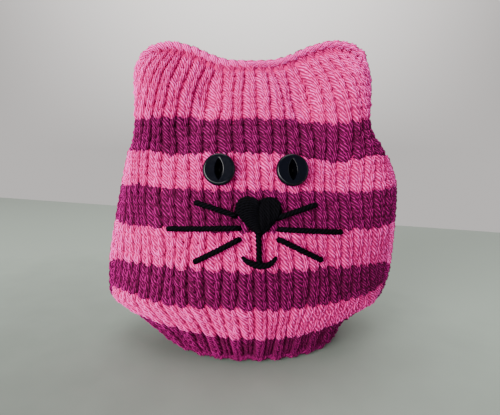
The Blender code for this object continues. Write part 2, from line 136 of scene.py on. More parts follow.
# Random unevenness of the stitches: sideways and in height, in lift and in width
SIDE_JITTER = 0.048
RISE_JITTER = 0.06
LIFT_WANDER = 0.00018
WIDTH_WANDER = 0.08

# Grooves in the knitting: between columns, between the legs of a stitch, in the
# ribs of the hem and just under the top edge
COLUMN_GROOVE = 0.0010
LEG_GROOVE = 0.0004
RIB_DROP = 0.0010
RIB_FADE = 0.7
RIB_GATHER = 0.10
TOP_GROOVE = 0.0015
TOP_GROOVE_ROW = 36.26
TOP_GROOVE_REACH = 0.26

# Painted shade in the cloth's depths: the yarn's level falls from 1 to 0, which is darkest, over
# this depth; below are the share of the ribs' drop that counts, and fixed painted shade levels for
# tubes, edge loops and the core sheet
SHADE_DEPTH = 0.0032
RIB_SHADE = 0.6
TUBE_SHADE_LEVEL = 0.8
EDGE_SHADE_LEVEL = 0.95
CORE_SHADE_LEVEL = 0.30

# Room that the yarn keeps to the floor and to the seam between the panels
STITCH_FLOOR = 0.0003
TUBE_FLOOR = 0.0001
SEAM_GAP = 0.00015

# The thin sheet that closes the small gaps between the stitches; its dark colour is painted shade
CORE_HALF_THICKNESS = 0.00035
CORE_COLUMNS = np.linspace(-HALF_COLUMNS + 0.15, HALF_COLUMNS - 0.15, 51)
CORE_ROWS = np.linspace(0.35, ROWS - 0.25, 61)

# Loops over the edges: share of a turn, points, place and length in stitches,
# width of the open end, and how far the loop sinks and arches
EDGE_TURN = 0.86
EDGE_POINTS = 17
EDGE_START = 0.45
EDGE_JITTER = 0.04
EDGE_LONG = 0.80
EDGE_OPEN = 0.35
EDGE_SINK = 0.0006
EDGE_ARCH = 0.0008
EDGE_PLIES = 6
EDGE_PLY_RELIEF = 0.12
TOP_RADIUS = 0.0018
TOP_SPREAD = 0.0027
TOP_PITCH = 0.0080
TOP_SAMPLES = 481
SIDE_RADIUS = 0.0016
SIDE_SPREAD = 0.0016
SIDE_SAMPLES_PER_ROW = 12
SIDE_STEP = 0.3
SEAM_SINK = 0.0006
SLIT_DEPTH = 0.0021
SLIT_SINK = 0.0012

# The twisted edge that the hem starts from
CAST_ON_RADIUS = 0.00185
CAST_ON_PLIES = 3
CAST_ON_PLY_RELIEF = 0.16
CAST_ON_PITCH = 0.0075
CAST_ON_ROW = 0.43
CAST_ON_WAVE = 0.16
CAST_ON_GATHER = 0.06
CAST_ON_LIFT = 0.0004
CAST_ON_INSET = 0.1
CAST_ON_SAMPLES = 421

# Black yarn of the face
STITCH_RADIUS = 0.0013
STITCH_PLIES = 4
STITCH_PLY_RELIEF = 0.09
STITCH_PITCH = 0.0075
STITCH_POINTS = 40
WHISKER_LIFT = 0.0002
WHISKER_DIVE = 0.0030
WHISKER_POWER = 16

# Slow waves of the cloth: radians for each column and row and at the start, for the
# sway of the columns, its beat, their ripple and the heave of the rows
WAVES = ((0.83, 0.17, 0.6), (0.31, 0.23, 0.0), (1.9, -0.11, 2.1), (0.7, 0.4, 0.0))
SWAY = 0.11
RIPPLE = 0.07
HEAVE = 0.06
CALM_SIDES = 2.0
CALM_BOTTOM = 3.0
CALM_TOP = 2.0

# Local shifts of the rows, as the cloth is pulled over the pot
WAVERS = (
    # column, row, rows up, reach in columns, reach in rows
    (-8.5, 29.0, -0.4, 3.0, 2.5),
    (-0.5, 29.0, 0.5, 4.5, 2.5),
    (-4.4, 29.0, 0.5, 1.1, 2.0),
    (3.9, 29.0, 0.5, 1.5, 2.0),
    (6.7, 29.0, -0.5, 2.2, 2.5),
    (-8.2, 25.5, 0.5, 2.0, 3.0),
    (0.0, 25.0, 0.25, 4.0, 2.0),
    (6.2, 25.0, -0.5, 2.4, 2.5),
    (11.0, 25.0, 0.35, 3.0, 2.0),
    (-7.5, 21.0, 0.5, 3.0, 2.0),
    (8.0, 21.0, -0.2, 4.0, 2.0),
    (11.5, 21.0, 0.4, 2.0, 2.0),
    (10.0, 17.0, -0.25, 3.0, 2.0),
    (-11.0, 13.0, 0.3, 2.5, 2.0),
    (0.0, 13.0, -0.15, 6.0, 2.5),
    (0.5, 9.0, -0.7, 7.0, 2.5),
    (12.5, 9.5, 0.75, 4.0, 3.0),
    (-4.8, 9.0, -0.25, 2.2, 2.5),
    (-9.8, 9.0, 0.3, 2.0, 2.5),
    (0.5, 5.2, -1.0, 6.0, 2.5),
    (-12.5, 5.8, 2.2, 4.5, 4.0),
    (12.5, 5.8, 2.4, 4.5, 4.0),
)

# Local shifts of the columns, where the cloth is drawn sideways
PULLS = (
    # column, row, columns across, reach in columns, reach in rows
    (-7.5, 21.8, -1.4, 3.4, 5.2),
    (-7.0, 34.0, -0.35, 3.2, 6.0),
    (7.6, 32.0, 0.5, 3.2, 6.0),
)

# Random sideways shifts of the columns' borders, every few rows
COLUMN_SHIFT = 0.085
COLUMN_SHIFT_ROWS = 4.5
rng = np.random.default_rng(11)
COLUMN_SHIFTS = COLUMN_SHIFT * rng.normal(size=(10, COLUMNS + 1))

# -------------------- the cloth's shape


def unit(vectors):
    """The same directions with length one."""
    return vectors / np.maximum(np.linalg.norm(vectors, axis=-1, keepdims=True), 1e-9)


def run_along(points):
    """Distance along lines of points."""
    steps = np.linalg.norm(np.diff(points, axis=-2), axis=-1)
    return np.concatenate([np.zeros_like(steps[..., :1]), np.cumsum(steps, axis=-1)], axis=-1)


def along_line(line, steps, at):
    """Points between those of a line that stand at the given steps."""
    return np.stack([np.interp(at, steps, line[:, n]) for n in range(line.shape[1])], axis=-1)


def ease(t):
    """The share t from 0 to 1, starting and ending gently."""
    return t * t * (3.0 - 2.0 * t)


def between(table, across, along):
    """Values between a table's points, at steps across its columns and along its rows."""
    u = np.clip(across, 0.0, table.shape[1] - 1.0001)
    v = np.clip(along, 0.0, table.shape[0] - 1.0001)
    i = v.astype(int)
    j = u.astype(int)
    fu = (u - j)[..., None]
    fv = (v - i)[..., None]
    low = (1.0 - fu) * table[i, j] + fu * table[i, j + 1]
    high = (1.0 - fu) * table[i + 1, j] + fu * table[i + 1, j + 1]
    return (1.0 - fv) * low + fv * high


def monotone(knots, values, at):
    """Smooth curve through a table's values that never overshoots them."""
    steps = np.diff(knots)
    rises = np.diff(values) / steps
    slopes = np.zeros_like(values)
    slopes[0] = rises[0]
    slopes[-1] = rises[-1]
    for i in range(1, len(knots) - 1):
        if rises[i - 1] * rises[i] > 0.0:
            before = 2.0 * steps[i] + steps[i - 1]
            after = steps[i] + 2.0 * steps[i - 1]
            slopes[i] = (before + after) / (before / rises[i - 1] + after / rises[i])
    k = np.clip(np.searchsorted(knots, at) - 1, 0, len(knots) - 2)
    step = steps[k]
    t = (at - knots[k]) / step
    return ((1 + 2 * t) * (1 - t) ** 2 * values[k] + t * (1 - t) ** 2 * step * slopes[k]
            + t * t * (3 - 2 * t) * values[k + 1] + t * t * (t - 1) * step * slopes[k + 1])


def smooth_grid(columns, rows):
    """Points of the front's smooth shape over a grid of rows by columns."""
    knots = SECTIONS[:, 0]
    measures = [monotone(knots, SECTIONS[:, i], rows) for i in range(1, SECTIONS.shape[1])]
    sines = np.sin(np.linspace(0.0, math.pi / 2.0, QUARTER_POINTS))
    droop = sines ** EDGE_DROOP
    grid = np.zeros((len(rows), len(columns), 3))
    across = np.abs(columns) / HALF_COLUMNS
    share = monotone(EAR_RISE[:, 0], EAR_RISE[:, 1], across)
    for i, row in enumerate(rows):
        (forward, height, left, right, gap, left_z, right_z,
         flat, blunt, spread, middle) = [measure[i] for measure in measures]
        bow = -gap - (forward - gap) * np.maximum(0.0, 1.0 - sines ** flat) ** (1.0 / blunt)
        xs = np.concatenate([-left * sines[::-1], right * sines[1:]])
        ys = np.concatenate([bow[::-1], bow[1:]])
        zs = np.concatenate([height + (left_z - height) * droop[::-1],
                             height + (right_z - height) * droop[1:]])
        line = np.stack([xs, ys, zs], axis=-1)
        run = run_along(line[:, :2])
        start = np.interp(middle, xs, run)
        reach = np.where(columns < 0.0, -start, run[-1] - start)
        along = start + reach * across * (1.0 + spread * (across * across - 1.0))
        ear = max(0.0, (row - EAR_START_ROW) / (ROWS - EAR_START_ROW)) ** EAR_GROWTH
        grid[i] = along_line(line, run, along)
        grid[i, :, 2] += ear * share
    return grid


def fold_grid(columns, rows):
    """How far the folds lift the cloth over the same grid."""
    c, r = np.meshgrid(columns * COLUMN_WIDTH, rows * ROW_HEIGHT)
    low = np.zeros_like(c)
    high = np.zeros_like(c)
    for start_column, start_row, end_column, end_row, height, half_width in FOLDS:
        ax, ay = start_column * COLUMN_WIDTH, start_row * ROW_HEIGHT
        dx, dy = end_column * COLUMN_WIDTH - ax, end_row * ROW_HEIGHT - ay
        t = np.clip(((c - ax) * dx + (r - ay) * dy) / (dx * dx + dy * dy), 0.0, 1.0)
        reach = np.hypot(c - ax - t * dx, r - ay - t * dy) / half_width
        lift = height * np.exp(-reach * reach)
        low = np.minimum(low, lift)
        high = np.maximum(high, lift)
    fade = np.minimum(1.0, (ROWS - rows) / FOLD_FADE_ROWS)[:, None]
    return fade * (low + high)


GRID_STEP = 0.125
GRID_COLUMNS = np.arange(-HALF_COLUMNS, HALF_COLUMNS + 0.5 * GRID_STEP, GRID_STEP)
GRID_ROWS = np.arange(0.0, ROWS + 0.5 * GRID_STEP, GRID_STEP)


def make_tables():
    """Places, outward directions and upward steps over the whole panel."""
    base = smooth_grid(GRID_COLUMNS, GRID_ROWS)
    outward = unit(np.cross(np.gradient(base, axis=1), np.gradient(base, axis=0)))
    place = base + outward * fold_grid(GRID_COLUMNS, GRID_ROWS)[:, :, None]
    up = np.gradient(place, axis=0) / GRID_STEP
    return place, unit(np.cross(np.gradient(place, axis=1), up)), up


PLACE, OUTWARD, UPWARD = make_tables()


def look_up(table, columns, rows):
    """Value of one of the panel's tables at any columns and rows."""
    return between(table, (columns + HALF_COLUMNS) / GRID_STEP, rows / GRID_STEP)


def cloth_places(columns, rows, lifts, side):
    """World points for places on a panel; side is -1 for the front, 1 for the back.

    Columns count to the right as the panel is looked at from outside.
    """
    columns = -side * np.asarray(columns, dtype=float)
    inside = np.clip(np.asarray(rows, dtype=float), 0.0, ROWS)
    out = unit(look_up(OUTWARD, columns, inside))
    points = look_up(PLACE, columns, inside) + out * np.asarray(lifts)[..., None]
    points += look_up(UPWARD, columns, inside) * (rows - inside)[..., None]
    points[..., 1] *= -side
    return points + SHIFT


# -------------------- meshes


def link(name, data):
    """A new object in the scene."""
    thing = bpy.data.objects.new(name, data)
    bpy.context.scene.collection.objects.link(thing)
    return thing


def add_mesh(name, points, faces, uvs, material, shade_levels=TUBE_SHADE_LEVEL):
    """A mesh object from points, faces, a UV for each face corner and each point's painted shade
    level.
    """
    mesh = bpy.data.meshes.new(name)
    mesh.from_pydata(np.asarray(points).tolist(), [], faces)
    if uvs is not None:
        layer = mesh.uv_layers.new(name="yarn")
        layer.data.foreach_set("uv", np.asarray(uvs, dtype=np.float32).ravel())
    corners = np.empty(len(mesh.loops), dtype=np.int32)
    mesh.loops.foreach_get("vertex_index", corners)
    level = np.broadcast_to(shade_levels, len(points))[corners].astype(np.float32)
    # The height UV map carries the painted shade level: 1 is lit, 0 is darkest
    layer = mesh.uv_layers.new(name="height")
    layer.data.foreach_set("uv", np.repeat(level, 2))
    mesh.shade_smooth()
    mesh.materials.append(material)
    return link(name, mesh)


def thin_sheet(top, bottom):
    """Points and faces of a sheet between two grids of points, the faces of its rim last."""
    tall, wide = top.shape[:2]
    size = tall * wide
    faces = []
    for i in range(tall - 1):
        for k in range(i * wide, (i + 1) * wide - 1):
            faces.append([k, k + 1, k + wide + 1, k + wide])
            faces.append([size + k, size + k + wide, size + k + wide + 1, size + k + 1])
    ring = [*range(wide), *range(2 * wide - 1, size, wide),
            *range(size - 2, size - wide - 1, -1), *range(size - 2 * wide, 0, -wide)]
    for here, after in zip(ring, ring[1:] + ring[:1]):
        faces.append([after, here, size + here, size + after])
    return np.concatenate([top.reshape(-1, 3), bottom.reshape(-1, 3)]), faces


def ply_ring(turns, plies, sides, relief):
    """Angles around a plied yarn for each twist in turns, and how far the plies bulge there."""
    angles = math.tau * (turns[..., None] + np.arange(sides) / sides)
    return angles, 1.0 + relief * np.cos(math.tau * plies * np.arange(sides) / sides)


def sweep(paths, across, depth, phase):
    """The knitting's yarn along paths on flat cloth, given as (yarns, points, xyz) in metres.

    Returns the points (yarns, points, sides, xyz) and each point's twist in turns.
    """
    yarns, count, _ = paths.shape
    tangent = unit(np.gradient(paths, axis=1))
    level = np.zeros((yarns, count))
    sideways = unit(np.stack([tangent[..., 1], -tangent[..., 0], level], axis=-1))
    outward = np.cross(sideways, tangent)
    turns = run_along(paths) / YARN_PITCH + phase[:, None]
    angles, bump = ply_ring(turns, YARN_PLIES, YARN_PLIES * YARN_SIDES_PER_PLY, YARN_PLY_RELIEF)
    a = (across[..., None] * bump * np.cos(angles))[..., None]
    b = (depth[..., None] * bump * np.sin(angles))[..., None]
    return paths[:, :, None, :] + a * sideways[:, :, None, :] + b * outward[:, :, None, :], turns


def tube_faces(yarns, count, sides, turns):
    """Faces and UVs of closed tubes whose points run yarn, point, side."""
    y, k, i = np.meshgrid(np.arange(yarns), np.arange(count - 1), np.arange(sides), indexing="ij")
    first = (y * count + k) * sides
    j = (i + 1) % sides
    quads = np.stack([first + i, first + sides + i, first + sides + j, first + j], axis=-1)
    u0 = i / sides
    u1 = (i + 1) / sides
    v0 = turns[y, k]
    v1 = turns[y, k + 1]
    uvs = np.stack([u0, v0, u0, v1, u1, v1, u1, v0], axis=-1).reshape(-1, 2)
    faces = quads.reshape(-1, 4).tolist()
    cap_uvs = []
    around = range(sides)
    for yarn in range(yarns):
        for point, ring in ((0, around), (count - 1, around[::-1])):
            start = (yarn * count + point) * sides
            faces.append([start + n for n in ring])
            cap_uvs += [(n / sides, turns[yarn, point]) for n in ring]
    return faces, np.concatenate([uvs, np.array(cap_uvs)], axis=0)


# -------------------- knitting


def rib_share(rows):
    """1 in the ribbed hem and 0 above it."""
    return np.clip((RIB_ROWS + RIB_FADE - rows) / (2.0 * RIB_FADE), 0.0, 1.0)


def purl(columns):
    """1 in the middle of the rib's purl columns and 0 in that of the plain ones."""
    return 0.5 - 0.5 * np.cos(math.pi * columns)


def rib_drop(columns, rows):
    """How far the purl columns of the ribbed hem sink."""
    return RIB_DROP * ease(rib_share(rows)) * purl(columns)


def wander(shape):
    """Smooth random wobble along the last axis, about a stitch long."""
    noise = rng.normal(size=shape)
    kernel = np.hanning(LOOP_POINTS + 2)[1:-1]
    kernel /= np.sqrt((kernel ** 2).sum())
    return np.apply_along_axis(lambda line: np.convolve(line, kernel, mode="same"), -1, noise)


def unevenness(columns, rows):
    """Sideways shifts that leave some columns wider and some narrower."""
    steps = rows / COLUMN_SHIFT_ROWS
    along = np.floor(steps) + ease(steps % 1.0)
    return between(COLUMN_SHIFTS[..., None], columns + HALF_COLUMNS, along)[..., 0]


def add_shifts(base, table, columns, rows):
    """A base plus the soft local shifts of a table, such as WAVERS."""
    for column, row, shift, wide, tall in table:
        base = base + shift * np.exp(-((columns - column) / wide) ** 2 - ((rows - row) / tall) ** 2)
    return base


def pulled(columns, rows):
    """Columns and rows as the cloth is pulled out of true, which fades towards its edges."""
    sway, beat, ripple, heave = [np.sin(across * columns + along * rows + start)
                                 for across, along, start in WAVES]
    sway = SWAY * sway * beat + RIPPLE * ripple
    sway = add_shifts(sway, PULLS, columns, rows)
    lift = add_shifts(HEAVE * heave, WAVERS, columns, rows)
    edge = np.clip((HALF_COLUMNS - np.abs(columns)) / CALM_SIDES, 0.0, 1.0)
    ends = np.clip(np.minimum(rows / CALM_BOTTOM, (ROWS - rows) / CALM_TOP), 0.0, 1.0)
    return columns + (sway + unevenness(columns, rows)) * edge, rows + lift * ends


def row_paths(first, last):
    """Paths of the yarn of each row on the flat cloth: column, row and lift in metres."""
    rows = np.arange(first, last)
    t = -math.pi + math.tau * np.arange(COLUMNS * LOOP_POINTS + 1) / LOOP_POINTS
    t = t + LEG_SAMPLING * np.sin(2.0 * t)
    place = -HALF_COLUMNS + (t + math.pi) / math.tau
    stitch = np.minimum((place + HALF_COLUMNS).astype(int), COLUMNS - 1)
    shape = (len(rows), COLUMNS)
    side_jitter = SIDE_JITTER * rng.normal(size=shape)[:, stitch]
    rise_jitter = 1.0 + RISE_JITTER * rng.normal(size=shape)[:, stitch]
    window = np.sin(0.5 * t + 0.5 * math.pi) ** 2
    columns = place + LOOP_LEAN * np.sin(2.0 * t) - LOOP_CLOSE * np.sin(t) + side_jitter * window
    row_places = rows[:, None] + 0.5 + LOOP_RISE * np.cos(t) * rise_jitter
    lifts = -LOOP_DEPTH * np.cos(2.0 * t) - LOOP_TILT * np.sin(t)
    lifts = lifts + LIFT_WANDER * wander((len(rows), len(t)))
    return t, columns, row_places, lifts


def panel_places(columns, rows, lifts, side):
    """World points of a panel's own yarn, which stops at the seam between the panels."""
    points = cloth_places(columns, rows, lifts, side)
    offset = (points[..., 1] - SHIFT[1]) * side
    points[..., 1] = SHIFT[1] + side * np.maximum(offset, SEAM_GAP)
    return points


def knit_stripe(name, first, last, side, material):
    """The stitches of one colour stripe of a panel, joined."""
    t, columns, rows, lifts = row_paths(first, last)
    rows = np.maximum(rows, LOWEST_LOOP_ROW)
    flat = np.stack([columns * COLUMN_WIDTH, rows * ROW_HEIGHT, lifts + YARN_MIDDLE], axis=-1)
    width = 1.0 - LEG_UNEVEN * np.sin(t) + WIDTH_WANDER * wander(flat.shape[:2])
    points, turns = sweep(flat, YARN_ACROSS * width, YARN_DEPTH * (0.5 + 0.5 * width),
                          rng.random(len(flat)))
    columns = points[..., 0] / COLUMN_WIDTH
    rows = points[..., 1] / ROW_HEIGHT
    groove = COLUMN_GROOVE * np.sin(math.pi * columns) ** 4
    groove = groove + LEG_GROOVE * np.cos(math.pi * columns) ** 8
    groove = groove + TOP_GROOVE * np.exp(-((rows - TOP_GROOVE_ROW) / TOP_GROOVE_REACH) ** 2)
    drop = rib_drop(columns, rows)
    lifts = points[..., 2] - groove
    # Painted shade: the deeper the yarn lies, in grooves, between legs and in the hem's purl ribs,
    # the darker its colour
    shade_levels = np.clip(1.0 + (lifts - RIB_SHADE * drop) / SHADE_DEPTH, 0.0, 1.0)
    columns = columns + rib_share(rows) * RIB_GATHER * np.sin(math.pi * columns)
    columns, rows = pulled(columns, rows)
    columns = np.clip(columns, -HALF_COLUMNS, HALF_COLUMNS)
    world = panel_places(columns, rows, lifts - drop, side)
    world[..., 2] = np.maximum(world[..., 2], STITCH_FLOOR)
    faces, uvs = tube_faces(*points.shape[:3], turns)
    return add_mesh(name, world.reshape(-1, 3), faces, uvs, material, shade_levels.ravel())


def build_core(name, side, materials):
    """The thin sheet that a panel's stitches lie in, at a dark painted shade level."""
    c, r = np.meshgrid(CORE_COLUMNS, CORE_ROWS)
    middle = YARN_MIDDLE - rib_drop(c, r)
    layers = [panel_places(c, r, middle + lift, side)
              for lift in (CORE_HALF_THICKNESS, -CORE_HALF_THICKNESS)]
    points, faces = thin_sheet(*layers)
    wide = len(CORE_COLUMNS)
    marks = [stripe_mark(row) for row in 0.5 * (CORE_ROWS[1:] + CORE_ROWS[:-1])
             for _ in range(2 * wide - 2)]
    marks += [stripe_mark(CORE_ROWS[face[0] // wide]) for face in faces[len(marks):]]
    core = add_mesh(name, points, faces, None, materials[0], CORE_SHADE_LEVEL)
    core.data.materials.append(materials[1])
    core.data.polygons.foreach_set("material_index", marks)
    return core


def stripe_mark(row):
    """0 where a row is pink and 1 where it is magenta."""
    return int(any(first <= row < last and yarn == "magenta" for _, first, last, yarn in STRIPES))


# -------------------- edges

# Starts the twist of a tube; no tube runs this way
ANY_DIRECTION = (0.31, 0.52, 0.79)


def world_tube(path, radius, plies, relief, pitch, sides_per_ply=2):
    """A plied yarn along a path of world points: its points, faces and UVs."""
    count = len(path)
    tangent = unit(np.gradient(path, axis=0))
    normals = np.zeros_like(path)
    normals[0] = unit(np.cross(tangent[0], ANY_DIRECTION))
    for k in range(1, count):
        normals[k] = unit(normals[k - 1] - tangent[k] * np.dot(normals[k - 1], tangent[k]))
    binormals = np.cross(normals, tangent)
    turns = run_along(path) / pitch
    sides = plies * sides_per_ply
    angles, bump = ply_ring(turns, plies, sides, relief)
    ring = np.broadcast_to(radius, (count,))[:, None] * bump
    points = (path[:, None, :] + (ring * np.cos(angles))[..., None] * normals[:, None, :]
              + (ring * np.sin(angles))[..., None] * binormals[:, None, :])
    faces, uvs = tube_faces(1, count, sides, turns[None, :])
    return points.reshape(-1, 3), faces, uvs


def join_tubes(name, tubes, material, level=TUBE_SHADE_LEVEL):
    """One object from several tubes, kept above the floor."""
    points, parts, uvs = zip(*tubes)
    faces = []
    start = 0
    for tube_points, part in zip(points, parts):
        faces += [[start + v for v in face] for face in part]
        start += len(tube_points)
    points = np.concatenate(points)
    points[:, 2] = np.maximum(points[:, 2], TUBE_FLOOR)
    return add_mesh(name, points, faces, np.concatenate(uvs), material, level)


def edge_loops(base, across, away, radius, spread, pitches):
    """A chain of loops over a line of points and directions, one for each twist pitch."""
    count = len(pitches)
    steps = np.linspace(0.0, count, len(base))
    t = np.linspace(-EDGE_TURN * math.pi, EDGE_TURN * math.pi, EDGE_POINTS)
    tubes = []
    for k in range(count):
        at = k + EDGE_START + EDGE_JITTER * rng.normal() + EDGE_LONG * np.cos(t)
        at = np.clip(at, 0.0, count)
        points, sideways, outward = [along_line(line, steps, at) for line in (base, across, away)]
        path = (points + sideways * (spread * np.sin(t) * (1.0 + EDGE_OPEN * np.cos(t)))[:, None]
                - outward * (EDGE_SINK + EDGE_ARCH * np.cos(2.0 * t))[:, None])
        tubes.append(world_tube(path, radius, EDGE_PLIES, EDGE_PLY_RELIEF, pitches[k]))
    return tubes


def seam_line(columns, rows, towards):
    """The line where the panels meet, and the directions across it and away from it."""
    edge = cloth_places(columns, rows, 0.0, -1)
    edge[:, 1] = SHIFT[1]
    across = np.tile((0.0, 1.0, 0.0), (len(edge), 1))
    away = unit(np.cross(np.gradient(edge, axis=0), across))
    return edge, across, away * np.sign(away @ towards)[:, None]


def top_loops():
    """The cast-off edges of both panels, sewn together along the top."""
    columns = np.linspace(-HALF_COLUMNS, HALF_COLUMNS, TOP_SAMPLES)
    edge, across, up = seam_line(columns, ROWS, (0.0, 0.0, 1.0))
    pitches = np.where(np.arange(COLUMNS) < HALF_COLUMNS - 1.0, -TOP_PITCH, TOP_PITCH)
    return edge_loops(edge, across, up, TOP_RADIUS, TOP_SPREAD, pitches)


def side_loops(hand, first, last, slit):
    """Loops along one side of the cosy: over the seam, or around the two edges of the slit."""
    count = last - first
    rows = np.linspace(first, last, SIDE_SAMPLES_PER_ROW * count + 1)
    lines = []
    if slit:
        for side in (-1, 1):
            outer = -side * hand * HALF_COLUMNS
            edge = cloth_places(outer, rows, -SLIT_DEPTH, side)
            inner = cloth_places(outer + side * hand * SIDE_STEP, rows, -SLIT_DEPTH, side)
            away = unit(edge - inner)
            across = unit(cloth_places(outer, rows, 0.0, side) - edge)
            lines.append((edge - away * SLIT_SINK, across, away))
    else:
        edge, across, away = seam_line(hand * HALF_COLUMNS, rows, (hand, 0.0, 0.0))
        lines.append((edge - away * SEAM_SINK, across, away))
    return [tube for line in lines
            for tube in edge_loops(*line, SIDE_RADIUS, SIDE_SPREAD, [YARN_PITCH] * count)]


def edge_pieces():
    """The loops along all the edges, as a piece for each yarn."""
    tubes = {"pink": top_loops(), "magenta": []}
    for _, first, last, yarn in STRIPES:
        slit = SLIT_START <= first and last <= SLIT_END
        for hand in (-1, 1):
            tubes[yarn] += side_loops(hand, first, last, slit)
    return [(join_tubes("edge_loops_" + yarn, parts, YARNS[yarn], EDGE_SHADE_LEVEL), yarn)
            for yarn, parts in tubes.items()]


def cast_on_edge(side):
    """The twisted edge that the hem starts from, in and out over the ribs."""
    end = HALF_COLUMNS - CAST_ON_INSET
    columns = np.linspace(-end, end, CAST_ON_SAMPLES)
    drop = purl(columns)
    lifts = YARN_MIDDLE + CAST_ON_LIFT - RIB_DROP * drop
    moved = columns + CAST_ON_GATHER * np.sin(math.pi * columns)
    path = panel_places(moved, CAST_ON_ROW + CAST_ON_WAVE * drop, lifts, side)
    return world_tube(path, CAST_ON_RADIUS, CAST_ON_PLIES, CAST_ON_PLY_RELIEF, CAST_ON_PITCH, 4)


# -------------------- materials

# Fibres around the yarn and for each turn of its twist, and patches for each metre
FIBRES_AROUND = 46.0
FIBRES_ALONG = 7.0
PATCHES = 160.0

# The yarn's brightness: its base and the weights of plies (painted shade between them and painted
# highlight on their crests), fibres, patches and depth (painted shade)
SHADE_BASE = -1.06
PLY_SHADE = 0.56
FIBRE_SHADE = 0.60
PATCH_SHADE = 0.34
DEPTH_SHADE = 1.20
PLY_RELIEF = 0.30
FIBRE_RELIEF = 0.0004
RELIEF_STRENGTH = 0.7

# Plastic: haze and moulding waves for each metre, and their strength
HAZE = 600.0
HAZE_ROUGHNESS = 0.12
MOULD_WAVES = 220.0
MOULD_STRENGTH = 0.08
MOULD_RELIEF = 0.0003

# Floor: the middle of its painted shadow, how it brightens away from it, its grain, and its colours
# in the painted shadow and in the open
FLOOR_SHADOW_MIDDLE = (-0.11, -0.10, 0.0)
FLOOR_BASE = -0.05
FLOOR_RISE = 2.6
FLOOR_GRAIN = 40.0
FLOOR_GRAIN_SHADE = 0.2
FLOOR_DARK = (0.118, 0.140, 0.121)
FLOOR_PALE = (0.300, 0.355, 0.308)


class Graph:
    """The nodes of a material or of the world, with short ways to add to them."""

    def __init__(self, owner):
        owner.use_nodes = True
        self.nodes = owner.node_tree.nodes
        self.links = owner.node_tree.links

    def feed(self, socket, value):
        """Joins an input to another node's output, or sets it to a constant."""
        if isinstance(value, bpy.types.NodeSocket):
            self.links.new(value, socket)
        else:
            socket.default_value = value

    def add(self, kind, *values, **named):
        """A node with its inputs, by order or by name."""
        node = self.nodes.new("ShaderNode" + kind)
        for key, value in [*enumerate(values), *named.items()]:
            self.feed(node.inputs[key], value)
        return node

    def math(self, operation, *values):
        """Result of a math node."""
        node = self.add("Math", *values)
        node.operation = operation
        return node.outputs[0]

    def weigh(self, base, *terms):
        """A base value plus each socket times its weight."""
        for socket, weight in terms:
            base = self.math("MULTIPLY_ADD", socket, weight, base)
        return base

    def split(self, vector):
        """The parts of a vector."""
        return self.add("SeparateXYZ", vector).outputs

    def uv_parts(self, name):
        """The parts of a UV map."""
        node = self.add("UVMap")
        node.uv_map = name
        return self.split(node.outputs["UV"])

    def place(self):
        """The place on the object, in its own metres."""
        return self.add("TexCoord").outputs["Object"]

    def noise(self, vector, scale, detail=2.0):
        """Smooth random values from 0 to 1."""
        return self.add("TexNoise", Vector=vector, Scale=scale, Detail=detail).outputs["Fac"]

    def paint(self, surface, level, first, last, *between):
        """Colours a surface by a level; each stop is a level and its colour."""
        ramp = self.add("ValToRGB", level)
        stops = ramp.color_ramp.elements
        for stop, (position, colour) in zip(stops, (first, last)):
            stop.position = position
            stop.color = (*colour, 1.0)
        for position, colour in between:
            stops.new(position).color = (*colour, 1.0)
        self.feed(surface.inputs["Base Color"], ramp.outputs["Color"])

    def emboss(self, surface, height, strength, distance):
        """Bumps a surface by a height."""
        bump = self.add("Bump", Height=height, Strength=strength, Distance=distance)
        self.feed(surface.inputs["Normal"], bump.outputs["Normal"])


def new_material(name):
    """An empty node material, its graph and its surface shader."""
    material = bpy.data.materials.new(name)
    graph = Graph(material)
    return material, graph, graph.nodes["Principled BSDF"]


def yarn_material(name, deep, middle, bright, plies, sheen=0.06, gloss=0.10):
    """Plied yarn with fibres along it, painted darker between the plies and deep in the cloth as
    shade, and lighter on the plies' crests as painted highlight.
    """
    material, graph, surface = new_material(name)
    uv = graph.uv_parts("yarn")
    around = graph.math("MULTIPLY", uv["X"], FIBRES_AROUND)
    along = graph.math("MULTIPLY", uv["Y"], FIBRES_ALONG)
    ply = graph.math("COSINE", graph.math("MULTIPLY", uv["X"], math.tau * plies))
    fibre = graph.noise(graph.add("CombineXYZ", around, along).outputs[0], 1.0, 3.0)
    patch = graph.noise(graph.place(), PATCHES)
    level = graph.uv_parts("height")["X"]
    # Painted shade and highlight: the ramp runs from deep, the colour in painted shade, through
    # middle, the yarn's own colour, to bright, its painted highlight; fibres and patches only vary
    # the tone
    shade = graph.weigh(SHADE_BASE, (ply, PLY_SHADE), (fibre, FIBRE_SHADE),
                        (patch, PATCH_SHADE), (level, DEPTH_SHADE))
    graph.paint(surface, shade, (0.02, deep), (0.98, bright), (0.55, middle))
    relief = graph.weigh(0.0, (ply, PLY_RELIEF), (fibre, 1.0 - PLY_RELIEF))
    graph.emboss(surface, relief, RELIEF_STRENGTH, FIBRE_RELIEF)
    surface.inputs["Roughness"].default_value = 0.8
    surface.inputs["Sheen Weight"].default_value = sheen
    surface.inputs["Sheen Roughness"].default_value = 0.4
    surface.inputs["Sheen Tint"].default_value = (*bright, 1.0)
    surface.inputs["Specular IOR Level"].default_value = gloss
    return material


def plastic_material(name, deep, bright, rough, gloss):
    """Navy-black plastic with faint moulding waves."""
    material, graph, surface = new_material(name)
    place = graph.place()
    haze = graph.noise(place, HAZE, 4.0)
    graph.paint(surface, haze, (0.0, deep), (1.0, bright))
    graph.feed(surface.inputs["Roughness"], graph.weigh(rough, (haze, HAZE_ROUGHNESS)))
    graph.emboss(surface, graph.noise(place, MOULD_WAVES), MOULD_STRENGTH, MOULD_RELIEF)
    surface.inputs["Specular IOR Level"].default_value = gloss
    return material


